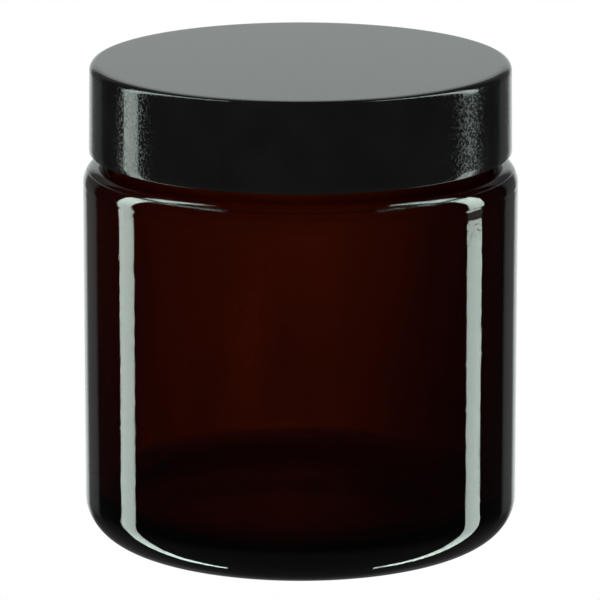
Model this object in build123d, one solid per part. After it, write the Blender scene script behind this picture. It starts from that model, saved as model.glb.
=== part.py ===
from build123d import *

import os
from math import cos, pi, radians, sin, tan

# Straight-sided amber glass cream jar, empty, with its black screw cap and the cap's liner.
# Millimetres, +Z up, origin at the centre of the surface that the jar stands on.
# The cap is modelled screwed down, with its liner on the glass rim.

# ---- Driving dimensions ------------------------------------------------------------------

# Whole object
body_radius = 31.0
overall_height = 69.2

# Cap, made for a 58 mm continuous-thread finish
cap_radius = 30.1
cap_height = 12.9
cap_panel_thickness = 2.0
cap_edge_radius = 1.2
cap_draft = 0.15
cap_bore_radius = 28.4
cap_thread_radius = 27.3
cap_lead_in = 0.8

# Liner, a foam disc with a film on each side
liner_radius = 28.2
liner_thickness = 1.0
film_thickness = 0.1

# Screw finish of the glass: single start, right hand, six threads to the inch
thread_lead = 25.4 / 6
neck_radius = 26.9
jar_thread_radius = 28.1
bore_radius = 24.3
rim_round = 0.7

# Glass body
base_wall_thickness = 3.0
top_wall_thickness = 2.65
shoulder_thickness = 2.2
base_thickness = 4.2
heel_radius = 6.0
inner_heel_radius = 4.0
push_up_radius = 20.5
push_up_height = 1.8
floor_crown = 1.2

# ---- Worked-out heights ------------------------------------------------------------------

skirt_height = overall_height - cap_height
ceiling_height = overall_height - cap_panel_thickness
rim_height = ceiling_height - liner_thickness

# ---- Screw threads -----------------------------------------------------------------------

# Half-widths of a ridge at its root inside the wall, at its blunted corner and at its crest
jar_ridge_halves = (1.6, 0.8, 0.4)
cap_ridge_halves = (1.3, 0.6, 0.3)
corner_depth = 0.35
ridge_root_depth = 0.8
ridge_sunk_depth = 0.4
ridge_fade = 45
ridge_span = 45
points_per_span = 6

# The jar's ridge starts at angle 0 and climbs 1.25 turns. The cap's ridge lies just under it.
jar_ridge_turn = (0, 450)
cap_ridge_turn = (90, 495)
jar_ridge_height = rim_height - 2.6 - thread_lead * 1.25
flank_clearance = 0.25
ridge_contact_width = 1.45
cap_ridge_height = jar_ridge_height - ridge_contact_width - flank_clearance


def screw_ridge(wall_radius, crest_radius, halves, turn, height_at_zero):
    """A thread ridge rooted in a round wall, whose two ends sink into that wall.

    It is a closed tube of ruled faces between helical edges, one edge for each corner of
    its section. A crest radius under the wall's makes an internal thread.
    """
    outward = 1 if crest_radius > wall_radius else -1
    root = wall_radius - outward * ridge_root_depth
    sunk = wall_radius - outward * ridge_sunk_depth
    shoulder = crest_radius - outward * corner_depth
    root_half, corner_half, crest_half = halves
    corners = (
        (root, root, -root_half),
        (shoulder, sunk, -corner_half),
        (crest_radius, sunk, -crest_half),
        (crest_radius, sunk, crest_half),
        (shoulder, sunk, corner_half),
        (root, root, root_half),
    )
    first, last = turn

    def point(corner, angle):
        full_radius, end_radius, offset = corner
        share = min(1, (angle - first) / ridge_fade, (last - angle) / ridge_fade)
        radius = end_radius + (full_radius - end_radius) * (1 - cos(pi * share)) / 2
        height = height_at_zero + thread_lead * angle / 360 + offset
        return Vector(radius * cos(radians(angle)), radius * sin(radians(angle)), height)

    def direction(corner, angle):
        before = max(first, angle - 0.01)
        after = min(last, angle + 0.01)
        return (point(corner, after) - point(corner, before)).normalized()

    def edge(corner, start):
        angles = [start + ridge_span * step / points_per_span for step in range(points_per_span + 1)]
        ends = (direction(corner, angles[0]), direction(corner, angles[-1]))
        return Edge.make_spline([point(corner, angle) for angle in angles], tangents=ends)

    starts = range(first, last, ridge_span)
    edges = [[edge(corner, start) for start in starts] for corner in corners]
    neighbours = [(edges[index - 1], edges[index]) for index in range(len(edges))]
    faces = [Face.make_surface_from_curves(*pair) for sides in neighbours for pair in zip(*sides)]
    for span, end in ((0, 0), (-1, 1)):
        outline = [Edge.make_line(one[span] @ end, other[span] @ end) for one, other in neighbours]
        faces.append(Face(Wire(outline)))
    return Solid(Shell(faces))


def turned(corners):
    """The solid of revolution of a closed outline, given as ((radius, height), round) corners."""
    outline, rounds = zip(*corners)
    path = FilletPolyline(*outline, radius=rounds, close=True)
    return revolve(make_face(Plane.XZ * path), Axis.Z)


# ---- Glass jar ---------------------------------------------------------------------------

# The shoulder bends in from the wall on a large curve, then on a tighter one to a flatter cone
# that meets the neck. Slopes are measured from the vertical.
shoulder_start_height = 51.6
first_slope = radians(36)
cone_slope = radians(70)
large_round = 3.6
tight_round = 2.8
first_bend_height = shoulder_start_height + large_round * tan(first_slope / 2)
between_bends = large_round * tan(first_slope / 2) + tight_round * tan((cone_slope - first_slope) / 2)
second_bend_radius = body_radius - between_bends * sin(first_slope)
second_bend_height = first_bend_height + between_bends * cos(first_slope)
neck_root_height = second_bend_height + (second_bend_radius - neck_radius) / tan(cone_slope)

# Inside, the wall leans out slightly as it rises, then bends in to a steeper cone up to the bore
inner_cone_slope = radians(60)
cavity_radius = body_radius - base_wall_thickness
cavity_top_radius = body_radius - top_wall_thickness
neck_root_inset = (cavity_top_radius - neck_radius) * cos(inner_cone_slope) + shoulder_thickness
inner_bend_height = neck_root_height - neck_root_inset / sin(inner_cone_slope)
bore_bottom_height = inner_bend_height + (cavity_top_radius - bore_radius) / tan(inner_cone_slope)

# Corners of the glass's half section, each with the radius of its round
jar_corners = (
    ((0, 0), 0),
    ((body_radius, 0), heel_radius),
    ((body_radius, first_bend_height), large_round),
    ((second_bend_radius, second_bend_height), tight_round),
    ((neck_radius, neck_root_height), 0.5),
    ((neck_radius, rim_height), rim_round),
    ((bore_radius, rim_height), rim_round),
    ((bore_radius, bore_bottom_height), 2.0),
    ((cavity_top_radius, inner_bend_height), 3.0),
    ((cavity_radius, base_thickness), inner_heel_radius),
    ((9, base_thickness + floor_crown), 30.0),
    ((0, base_thickness + floor_crown), 0),
)


def glass_jar():
    blank = turned(jar_corners)
    ridge = screw_ridge(neck_radius, jar_thread_radius, jar_ridge_halves, jar_ridge_turn, jar_ridge_height)
    dome_radius = (push_up_radius**2 + push_up_height**2) / (2 * push_up_height)
    push_up = Pos(0, 0, push_up_height - dome_radius) * Sphere(dome_radius)
    return blank + ridge - push_up


# ---- Cap and liner -----------------------------------------------------------------------


cap_corners = (
    ((0, ceiling_height), 0),
    ((cap_bore_radius, ceiling_height), 0),
    ((cap_bore_radius, skirt_height + cap_lead_in), 0),
    ((cap_bore_radius + cap_lead_in / 2, skirt_height), 0),
    ((cap_radius, skirt_height), 0.12),
    ((cap_radius - cap_draft, overall_height), cap_edge_radius),
    ((0, overall_height), 0),
)


def screw_cap():
    shell = turned(cap_corners)
    ridge = screw_ridge(cap_bore_radius, cap_thread_radius, cap_ridge_halves, cap_ridge_turn, cap_ridge_height)
    return shell + ridge


def liner_layer(bottom, top):
    return Pos(0, 0, bottom) * Cylinder(liner_radius, top - bottom, align=(Align.CENTER, Align.CENTER, Align.MIN))


# ---- Nodes -------------------------------------------------------------------------------

core_bottom = rim_height + film_thickness
core_top = ceiling_height - film_thickness

nodes = {
    "glass_jar": glass_jar(),
    "screw_cap": screw_cap(),
    "liner_lower_film": liner_layer(rim_height, core_bottom),
    "liner_foam_core": liner_layer(core_bottom, core_top),
    "liner_upper_film": liner_layer(core_top, ceiling_height),
}

os.makedirs("parts", exist_ok=True)
for name, solid in nodes.items():
    export_step(solid, f"parts/{name}.step")
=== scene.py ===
from math import ceil, cos, pi, radians, sin, sqrt, tan, tau

import bmesh
import bpy
from mathutils import Matrix, Vector


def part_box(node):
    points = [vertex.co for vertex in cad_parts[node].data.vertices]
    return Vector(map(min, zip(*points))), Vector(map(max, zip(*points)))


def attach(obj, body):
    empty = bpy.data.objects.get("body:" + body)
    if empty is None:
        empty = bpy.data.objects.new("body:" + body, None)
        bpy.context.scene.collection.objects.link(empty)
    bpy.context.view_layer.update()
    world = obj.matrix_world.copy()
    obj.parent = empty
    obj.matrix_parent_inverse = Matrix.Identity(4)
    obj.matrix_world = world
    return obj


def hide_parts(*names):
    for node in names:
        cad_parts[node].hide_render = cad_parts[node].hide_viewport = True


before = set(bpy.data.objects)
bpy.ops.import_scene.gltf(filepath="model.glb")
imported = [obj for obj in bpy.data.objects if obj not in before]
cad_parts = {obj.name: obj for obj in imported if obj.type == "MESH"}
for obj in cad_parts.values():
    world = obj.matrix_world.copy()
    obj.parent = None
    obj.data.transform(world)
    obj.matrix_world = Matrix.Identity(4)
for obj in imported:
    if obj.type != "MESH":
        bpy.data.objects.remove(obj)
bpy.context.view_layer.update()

# Everything is in metres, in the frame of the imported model: +Z up, jar standing on z = 0.

mm = 0.001
jar_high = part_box("glass_jar")[1]
cap_low, cap_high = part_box("screw_cap")

body_radius = jar_high.x
rim_height = jar_high.z
skirt_height = cap_low.z
top_height = cap_high.z
cap_radius = cap_high.x
ceiling_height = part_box("liner_upper_film")[1].z

# ---- Outlines ----------------------------------------------------------------------------

thread_step = 0.25 * mm


def rounded(corners, arc_step, run_step, threaded_radius=None):
    """Points along an open outline of ((radius, height), round) corners, with true arcs.

    The run at threaded_radius, which carries a screw thread, is cut into finer steps.
    """
    def run(end):
        threaded = threaded_radius is not None and abs(end.x - threaded_radius) < 1e-6
        return run_to(points[-1], end, thread_step if threaded else run_step)[1:]

    points = [Vector(corners[0][0])]
    for before, (corner, radius), after in zip(corners, corners[1:], corners[2:]):
        here = Vector(corner)
        back = (Vector(before[0]) - here).normalized()
        on = (Vector(after[0]) - here).normalized()
        if radius == 0:
            bend = [here]
        else:
            half_angle = back.angle(on) / 2
            middle = here + (back + on).normalized() * radius / sin(half_angle)
            start = here + back * radius / tan(half_angle) - middle
            sweep = start.angle_signed(here + on * radius / tan(half_angle) - middle)
            steps = max(2, ceil(abs(sweep) * radius / arc_step))
            bend = [middle + start @ Matrix.Rotation(sweep * k / steps, 2) for k in range(steps + 1)]
        points += run(bend[0]) + bend[1:]
    points += run(Vector(corners[-1][0]))
    return points


def run_to(start, end, step):
    """Evenly spaced points from start to end, both included."""
    steps = max(1, ceil((end - start).length / step))
    return [start.lerp(end, k / steps) for k in range(steps + 1)]


def lathe(name, outline, segments, shift=None):
    """A closed mesh turned about Z from an outline that starts and ends on the axis.

    shift(angle, radius, height) gives the radius that each point is moved to.
    """
    mesh = bpy.data.meshes.new(name)
    made = bmesh.new()
    rings = []
    for point in outline[1:-1]:
        ring = []
        for k in range(segments):
            angle = tau * k / segments
            radius = shift(angle, point.x, point.y) if shift else point.x
            ring.append(made.verts.new((radius * cos(angle), radius * sin(angle), point.y)))
        rings.append(ring)
    for low, high in zip(rings, rings[1:]):
        for k in range(segments):
            after = (k + 1) % segments
            made.faces.new((low[k], low[after], high[after], high[k]))
    for ring, end in ((rings[0], outline[0]), (rings[-1], outline[-1])):
        tip = made.verts.new((0, 0, end.y))
        for k in range(segments):
            made.faces.new((tip, ring[k], ring[(k + 1) % segments]))
    bmesh.ops.recalc_face_normals(made, faces=made.faces)
    for face in made.faces:
        face.smooth = True
    made.to_mesh(mesh)
    made.free()
    piece = bpy.data.objects.new(name, mesh)
    bpy.context.scene.collection.objects.link(piece)
    return piece


def stands_for(piece, node, body, material):
    piece.data.materials.append(material)
    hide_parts(node)
    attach(piece, body)


# ---- Screw threads -----------------------------------------------------------------------

# A ridge is rooted inside its wall, and its two ends sink into the wall
thread_lead = 25.4 / 6 * mm
ridge_root_depth = 0.8 * mm
ridge_sunk_depth = 0.4 * mm
ridge_corner_depth = 0.35 * mm
ridge_fade = radians(45)


def ridge_radius(angle, height, wall, crest, halves, turn, height_at_zero):
    """Where a thread ridge's surface lies at that angle and height, or the wall's radius.

    The halves are the ridge's half-widths at its root, at its blunted corner and at its crest.
    """
    outward = 1 if crest > wall else -1
    root = wall - outward * ridge_root_depth
    sunk = wall - outward * ridge_sunk_depth
    corner = crest - outward * ridge_corner_depth
    root_half, corner_half, crest_half = halves
    best = wall
    first, last = turn
    while angle < first:
        angle += tau
    while angle <= last:
        share = min(1, (angle - first) / ridge_fade, (last - angle) / ridge_fade)
        swell = (1 - cos(pi * share)) / 2
        off = abs(height - height_at_zero - thread_lead * angle / tau)
        crest_here = sunk + (crest - sunk) * swell
        corner_here = sunk + (corner - sunk) * swell
        if off <= crest_half:
            radius = crest_here
        elif off <= corner_half:
            radius = crest_here + (corner_here - crest_here) * (off - crest_half) / (corner_half - crest_half)
        else:
            radius = corner_here + (root - corner_here) * (off - corner_half) / (root_half - corner_half)
        best = max(best * outward, radius * outward) * outward
        angle += tau
    return best


# ---- Glass jar ---------------------------------------------------------------------------

neck_radius = 26.9 * mm
jar_thread_radius = 28.1 * mm
bore_radius = 24.3 * mm
rim_round = 0.7 * mm
cavity_radius = body_radius - 3.0 * mm
cavity_top_radius = body_radius - 2.65 * mm
shoulder_thickness = 2.2 * mm
base_thickness = 4.2 * mm
heel_radius = 6.0 * mm
inner_heel_radius = 4.0 * mm
floor_crown = 1.2 * mm
push_up_radius = 20.5 * mm
push_up_height = 1.8 * mm
push_up_steps = 24

# The shoulder bends in on a large curve, then on a tighter one to a cone that meets the neck
shoulder_start_height = 51.6 * mm
first_slope = radians(36)
cone_slope = radians(70)
large_round = 3.6 * mm
tight_round = 2.8 * mm
first_bend_height = shoulder_start_height + large_round * tan(first_slope / 2)
between_bends = large_round * tan(first_slope / 2) + tight_round * tan((cone_slope - first_slope) / 2)
second_bend_radius = body_radius - between_bends * sin(first_slope)
second_bend_height = first_bend_height + between_bends * cos(first_slope)
neck_root_height = second_bend_height + (second_bend_radius - neck_radius) / tan(cone_slope)

# Inside, a steeper cone leads from the wall up to the bore
inner_cone_slope = radians(60)
neck_root_inset = (cavity_top_radius - neck_radius) * cos(inner_cone_slope) + shoulder_thickness
inner_bend_height = neck_root_height - neck_root_inset / sin(inner_cone_slope)
bore_bottom_height = inner_bend_height + (cavity_top_radius - bore_radius) / tan(inner_cone_slope)

# The mould leaves a fine groove round the shoulder's foot, and both walls are slightly uneven
groove_height = 51.65 * mm
groove_start_height = 51.3 * mm
groove_half_width = 0.15 * mm
groove_depth = 0.045 * mm
outer_ripple = 0.008 * mm
inner_ripple = 0.06 * mm

jar_corners = (
    ((push_up_radius, 0), 0),
    ((body_radius, 0), heel_radius),
    ((body_radius, groove_start_height), 0),
    ((body_radius, first_bend_height), large_round),
    ((second_bend_radius, second_bend_height), tight_round),
    ((neck_radius, neck_root_height), 0.5 * mm),
    ((neck_radius, rim_height), rim_round),
    ((bore_radius, rim_height), rim_round),
    ((bore_radius, bore_bottom_height), 2.0 * mm),
    ((cavity_top_radius, inner_bend_height), 3.0 * mm),
    ((cavity_radius, base_thickness), inner_heel_radius),
    ((9 * mm, base_thickness + floor_crown), 30.0 * mm),
    ((0, base_thickness + floor_crown), 0),
)
jar_thread = {
    "wall": neck_radius,
    "crest": jar_thread_radius,
    "halves": (1.6 * mm, 0.8 * mm, 0.4 * mm),
    "turn": (0, radians(450)),
    "height_at_zero": rim_height - 2.6 * mm - thread_lead * 1.25,
}


def glass_shift(angle, radius, height):
    """The thread on the neck, the walls' slight unevenness, and the mould's parting groove."""
    on_neck = abs(radius - neck_radius) < 1e-6 and neck_root_height < height < rim_height
    on_outer_wall = radius > cavity_top_radius + mm and height > mm
    on_inner_wall = radius > bore_radius + mm and base_thickness < height < inner_bend_height
    if on_neck:
        return ridge_radius(angle, height, **jar_thread)
    if on_outer_wall:
        climb = height / body_radius
        ripple = 1.5 + sin(3 * angle + 2 * climb) + 0.5 * sin(8 * angle + 2 - 5 * climb)
        groove = max(0, 1 - abs(height - groove_height) / groove_half_width)
        return radius - outer_ripple * ripple - groove_depth * groove
    if on_inner_wall:
        return radius + inner_ripple * sin(2 * angle + 4.2 + height / (14 * mm))
    return radius


def push_up_outline():
    """The dome under the base, from the axis out to the ring that the jar stands on."""
    dome_radius = (push_up_radius**2 + push_up_height**2) / (2 * push_up_height)
    centre_height = push_up_height - dome_radius
    radii = [push_up_radius * k / push_up_steps for k in range(push_up_steps)]
    return [Vector((radius, centre_height + sqrt(dome_radius**2 - radius**2))) for radius in radii]


# ---- Cap ---------------------------------------------------------------------------------

cap_bore_radius = 28.4 * mm
cap_thread_radius = 27.3 * mm
cap_edge_radius = 1.2 * mm
cap_draft = 0.15 * mm
cap_lead_in = 0.8 * mm
flank_clearance = 0.25 * mm
ridge_contact_width = 1.45 * mm

cap_corners = (
    ((0, ceiling_height), 0),
    ((cap_bore_radius, ceiling_height), 0),
    ((cap_bore_radius, skirt_height + cap_lead_in), 0),
    ((cap_bore_radius + cap_lead_in / 2, skirt_height), 0),
    ((cap_radius, skirt_height), 0.12 * mm),
    ((cap_radius - cap_draft, top_height), cap_edge_radius),
    ((0, top_height), 0),
)
cap_thread = {
    "wall": cap_bore_radius,
    "crest": cap_thread_radius,
    "halves": (1.3 * mm, 0.6 * mm, 0.3 * mm),
    "turn": (radians(90), radians(495)),
    "height_at_zero": jar_thread["height_at_zero"] - ridge_contact_width - flank_clearance,
}


def cap_shift(angle, radius, height):
    """The thread inside the skirt."""
    if abs(radius - cap_bore_radius) < 1e-6:
        return ridge_radius(angle, height, **cap_thread)
    return radius


# ---- Node helpers ------------------------------------------------------------------------


class Nodes:
    """Short calls for building a node tree, in the tree's own coordinates."""

    def __init__(self, tree, coordinates):
        self.tree = tree
        self.space = self.add("ShaderNodeTexCoord").outputs[coordinates]

    def add(self, kind, **settings):
        node = self.tree.nodes.new(kind)
        for key, value in settings.items():
            setattr(node, key, value)
        return node

    def put(self, socket, value):
        """Links an input socket to an output, or sets its value."""
        if isinstance(value, bpy.types.NodeSocket):
            self.tree.links.new(value, socket)
        else:
            socket.default_value = value

    def feed(self, node, **sockets):
        """Fills input sockets, named in lower case with _ for a space."""
        for key, value in sockets.items():
            socket = next(s for s in node.inputs if s.name.lower().replace(" ", "_") == key and s.enabled)
            self.put(socket, value)
        return node

    def join(self, node, *values):
        """Fills a node's first inputs in order and gives its first output."""
        for socket, value in zip(node.inputs, values):
            self.put(socket, value)
        return node.outputs[0]

    def maths(self, operation, *values):
        return self.join(self.add("ShaderNodeMath", operation=operation), *values)

    def product(self, first, *others):
        for other in others:
            first = self.maths("MULTIPLY", first, other)
        return first

    def spread(self, value, low, high, to_low, to_high):
        """Maps low..high to to_low..to_high, clamped at both ends."""
        return self.join(self.add("ShaderNodeMapRange"), value, low, high, to_low, to_high)

    def axes(self):
        node = self.add("ShaderNodeSeparateXYZ")
        self.put(node.inputs[0], self.space)
        return node.outputs

    def noise(self, scale, detail=4, roughness=0.5, seed=0):
        place = self.add("ShaderNodeMapping")
        self.feed(place, vector=self.space, location=(seed, seed * 0.7, seed * 0.3))
        node = self.add("ShaderNodeTexNoise")
        self.feed(node, vector=place.outputs[0], scale=scale, detail=detail, roughness=roughness)
        return node.outputs["Fac"]

    def scaled(self, vector, by):
        node = self.add("ShaderNodeVectorMath", operation="SCALE")
        return self.feed(node, vector=vector, scale=by).outputs[0]

    def total(self, first, second):
        return self.join(self.add("ShaderNodeVectorMath", operation="ADD"), first, second)


class Surface(Nodes):
    """The node tree of a new material, laid out in object coordinates."""

    def __init__(self, name):
        self.material = bpy.data.materials.new(name)
        self.material.use_nodes = True
        super().__init__(self.material.node_tree, "Object")
        self.shader = self.tree.nodes["Principled BSDF"]
        self.output = self.tree.nodes["Material Output"]

    def colours(self, value, *stops):
        """A colour ramp through (position, colour) stops."""
        node = self.add("ShaderNodeValToRGB")
        ramp = node.color_ramp
        while len(ramp.elements) < len(stops):
            ramp.elements.new(1)
        for element, (position, colour) in zip(ramp.elements, stops):
            element.position = position
            element.color = (*colour, 1)
        self.tree.links.new(value, node.inputs["Fac"])
        return node.outputs["Color"]

    def bump(self, height, depth, normal=None):
        """A bump whose height value of 1 stands depth metres proud."""
        node = self.add("ShaderNodeBump")
        self.feed(node, strength=1.0, distance=depth, height=height)
        if normal is not None:
            self.feed(node, normal=normal)
        return node.outputs["Normal"]


# ---- Materials ---------------------------------------------------------------------------


def amber_glass():
    """Clear smooth glass, coloured by what it absorbs."""
    n = Surface("amber_glass")
    wavy = n.noise(110, detail=2)
    fine = n.noise(1200, detail=2, seed=3)
    normal = n.bump(fine, 0.006 * mm, n.bump(wavy, 0.01 * mm))
    n.feed(
        n.shader,
        base_color=(1, 1, 1, 1),
        roughness=n.spread(n.noise(260, seed=5), 0.3, 0.7, 0.015, 0.04),
        ior=1.52,
        transmission_weight=1.0,
        normal=normal,
    )
    absorb = n.add("ShaderNodeVolumeAbsorption")
    absorb.inputs["Color"].default_value = (0.573, 0.293, 0.0, 1)
    absorb.inputs["Density"].default_value = 1500
    n.tree.links.new(absorb.outputs[0], n.output.inputs["Volume"])
    return n.material


def black_thermoset():
    """Glossy black plastic with very fine pits."""
    n = Surface("black_thermoset")
    peel = n.noise(500, detail=3, seed=1)
    grain = n.noise(2400, detail=3, roughness=0.6, seed=2)
    pits = n.spread(grain, 0.36, 0.49, 0, 1)
    normal = n.bump(pits, 0.005 * mm, n.bump(peel, 0.0015 * mm))
    n.feed(
        n.shader,
        base_color=n.colours(n.noise(180, seed=4), (0.35, (0.0055, 0.0055, 0.006)), (0.7, (0.0075,) * 3)),
        roughness=n.spread(pits, 0, 1, 0.15, 0.06),
        ior=1.5,
        specular_ior_level=0.29,
        normal=normal,
    )
    return n.material


def white_foam():
    """Foamed polyethylene with small closed cells."""
    n = Surface("white_foam")
    cells = n.add("ShaderNodeTexVoronoi")
    n.feed(cells, vector=n.space, scale=2600.0)
    pores = cells.outputs["Distance"]
    n.feed(
        n.shader,
        base_color=n.colours(n.noise(300, seed=2), (0.3, (0.80, 0.80, 0.77)), (0.7, (0.88, 0.88, 0.86))),
        roughness=n.spread(pores, 0, 0.6, 0.6, 0.9),
        ior=1.45,
        normal=n.bump(pores, 0.05 * mm),
    )
    return n.material


def clear_film():
    """The liner's film, wrinkled and dented by the jar's rim, with painted shade darkening the dented ring.
    """
    n = Surface("clear_film")
    x, y, _ = n.axes()
    radius = n.maths("SQRT", n.maths("ADD", n.product(x, x), n.product(y, y)))
    rim_middle = (neck_radius + bore_radius) / 2
    from_rim = n.maths("ABSOLUTE", n.maths("SUBTRACT", radius, rim_middle))
    # Painted shade: the ring that the jar's rim presses in is sunk by a bump and also painted darker in
    # colour; the wrinkles' tone varies at random
    rim_dent_and_painted_shade = n.spread(from_rim, 0.5 * mm, 0.9 * mm, 1, 0)
    wrinkles = n.noise(500, detail=4, seed=7)
    shade = n.maths("ADD", wrinkles, n.product(rim_dent_and_painted_shade, 0.1))
    n.feed(
        n.shader,
        base_color=n.colours(shade, (0.35, (0.84, 0.84, 0.82)), (0.75, (0.78, 0.78, 0.75))),
        roughness=n.spread(wrinkles, 0.3, 0.7, 0.28, 0.42),
        ior=1.51,
        normal=n.bump(wrinkles, 0.02 * mm, n.bump(n.maths("SUBTRACT", 1.0, rim_dent_and_painted_shade), 0.03 * mm)),
    )
    return n.material


# ---- Pieces ------------------------------------------------------------------------------

glass_outline = push_up_outline() + rounded(jar_corners, 0.16 * mm, 1.0 * mm, neck_radius)
glass = lathe("amber_glass_jar", glass_outline, 256, glass_shift)
stands_for(glass, "glass_jar", "jar", amber_glass())

cap_outline = rounded(cap_corners, 0.12 * mm, 0.8 * mm, cap_bore_radius)
cap = lathe("black_screw_cap", cap_outline, 256, cap_shift)
stands_for(cap, "screw_cap", "cap", black_thermoset())

film = clear_film()
layers = (
    ("foam_core_disc", "liner_foam_core", "white_foam", white_foam(), 0.1 * mm),
    ("lower_film_disc", "liner_lower_film", "clear_film", film, 0.02 * mm),
    ("upper_film_disc", "liner_upper_film", "clear_film", film, 0.02 * mm),
)
for name, node, slot_name, material, edge in layers:
    low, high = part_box(node)
    corners = (
        ((0, low.z), 0),
        ((high.x, low.z), edge),
        ((high.x, high.z), edge),
        ((0, high.z), 0),
    )
    disc = lathe(name, rounded(corners, edge / 3, 0.8 * mm), 192)
    stands_for(disc, node, "liner", material)

# ---- Floor -------------------------------------------------------------------------------

floor_half_size = 6
floor_drop = 0.1 * mm


def floor_material():
    """Pale and matt to the object, plain white to the camera."""
    n = Surface("floor_white")
    n.feed(n.shader, base_color=(0.9, 0.9, 0.9, 1), roughness=1.0)
    seen = n.add("ShaderNodeLightPath").outputs["Is Camera Ray"]
    white = n.add("ShaderNodeEmission")
    n.feed(white, color=(1, 1, 1, 1), strength=1.0)
    mix = n.add("ShaderNodeMixShader")
    n.join(mix, seen, n.shader.outputs[0], white.outputs[0])
    n.tree.links.new(mix.outputs[0], n.output.inputs["Surface"])
    return n.material


def make_floor():
    mesh = bpy.data.meshes.new("floor")
    made = bmesh.new()
    bmesh.ops.create_grid(made, x_segments=8, y_segments=8, size=floor_half_size)
    made.to_mesh(mesh)
    made.free()
    floor = bpy.data.objects.new("floor", mesh)
    floor.location.z = -floor_drop
    mesh.materials.append(floor_material())
    bpy.context.scene.collection.objects.link(floor)
    floor.visible_glossy = False
    floor.visible_transmission = False


# ---- Light -------------------------------------------------------------------------------

# The studio, as reflections show it: a white wall behind the object, a tall narrow softbox on
# each side, a dim table and the rest near dark. Azimuths are in degrees from the camera's side,
# so 180 is behind the object. A level is the sine of an angle above the horizontal.
camera_elevation = 13.68
strip_azimuth = 105.0
strip_half_width = 6.2
strip_colour = (5.0, 5.9, 5.4)
strip_top = sin(radians(70))

# The softboxes are brighter away from the camera's level, and the right one has a dim stretch
view_level = sin(radians(-camera_elevation))
strip_gain = (0.15, 0.6, 1.0, 1.8)
gap_low = sin(radians(-12.7))
gap_high = sin(radians(-9))
gap_dimming = 0.95

# The wall comes up in two steps of azimuth, and its brightness changes with the level
wall_colour = (0.88, 0.94, 0.93)
wall_top = 0.8
wall_sides = ((136.0, 140.0, 0.0, 0.15), (155, 162, 0.0, 0.85))
wall_levels = ((-0.36, -0.27, 0.08, 1.0), (-0.1, 0.05, 1.0, 0.82), (0.32, 0.42, 1.0, 1.6))
table_levels = (-0.25, -0.6, 0.0, 0.06)
dark_light = 0.012

# Light that passes through the glass is plain white, slightly mottled, dimmer to the right
# behind the object and dimmer from below
dimmer_right = (0.0, 0.09, 0.0, 0.62)
dimmer_below = (-0.27, -0.42, 1.0, 0.45)
mottle_scale = 26.0
mottle_range = (0.3, 0.7, 0.62, 1.2)


def reflected_light(n, x, y, z):
    around = n.maths("ARCTAN2", n.maths("ABSOLUTE", x), n.product(y, -1.0))
    azimuth = n.product(around, 180 / pi)
    level = n.maths("ABSOLUTE", z)

    in_gap = n.product(n.maths("GREATER_THAN", z, gap_low), n.maths("LESS_THAN", z, gap_high))
    on_right = n.maths("GREATER_THAN", x, 0.0)
    gap = n.maths("SUBTRACT", 1.0, n.product(in_gap, on_right, gap_dimming))
    off_level = n.maths("ABSOLUTE", n.maths("SUBTRACT", z, view_level))
    strip = n.product(
        n.maths("COMPARE", azimuth, strip_azimuth, strip_half_width),
        n.maths("LESS_THAN", level, strip_top),
        gap,
        n.spread(off_level, *strip_gain),
    )

    sides = n.maths("ADD", *[n.spread(azimuth, *side) for side in wall_sides])
    below_top = n.maths("LESS_THAN", level, wall_top)
    wall = n.product(sides, below_top, *[n.spread(z, *change) for change in wall_levels])

    rest = n.maths("ADD", n.spread(z, *table_levels), dark_light)
    bright = n.total(n.scaled(strip_colour, strip), n.scaled(wall_colour, wall))
    return n.total(bright, n.scaled((1, 1, 1), rest))


def light_through_glass(n, x, y, z):
    to_right = n.product(n.spread(x, *dimmer_right), n.maths("GREATER_THAN", y, 0.0))
    mottle = n.spread(n.noise(mottle_scale), *mottle_range)
    return n.product(n.maths("SUBTRACT", 1.0, to_right), n.spread(z, *dimmer_below), mottle)


def make_world():
    """Plain white to the camera and to matt surfaces, and the studio to reflections."""
    world = bpy.data.worlds.new("studio")
    bpy.context.scene.world = world
    world.use_nodes = True
    world.node_tree.nodes.clear()
    n = Nodes(world.node_tree, "Generated")
    x, y, z = n.axes()
    path = n.add("ShaderNodeLightPath")
    passes = path.outputs["Is Transmission Ray"]
    bounces = n.product(path.outputs["Is Glossy Ray"], n.maths("SUBTRACT", 1.0, passes))
    plain = n.maths("SUBTRACT", n.maths("SUBTRACT", 1.0, bounces), passes)
    white = n.maths("ADD", plain, n.product(passes, light_through_glass(n, x, y, z)))
    mirrored = n.scaled(reflected_light(n, x, y, z), bounces)
    background = n.add("ShaderNodeBackground")
    n.feed(background, color=n.total(n.scaled((1, 1, 1), white), mirrored))
    n.feed(n.add("ShaderNodeOutputWorld"), surface=background.outputs[0])


# ---- Camera ------------------------------------------------------------------------------

camera_distance = 24.39 * body_radius
aim = Vector((-0.08, 0, 34.2)) * mm


def make_camera():
    data = bpy.data.cameras.new("camera")
    data.sensor_width = 36
    data.lens = 316.6
    data.clip_start = 0.01
    data.clip_end = 50
    camera = bpy.data.objects.new("camera", data)
    elevation = radians(camera_elevation)
    away = Vector((0, -cos(elevation), sin(elevation)))
    camera.location = aim + away * camera_distance
    camera.rotation_euler = away.to_track_quat("Z", "Y").to_euler()
    bpy.context.scene.collection.objects.link(camera)
    bpy.context.scene.camera = camera


make_floor()
make_world()
make_camera()
view = bpy.context.scene.view_settings
view.view_transform = "Standard"
view.look = "None"
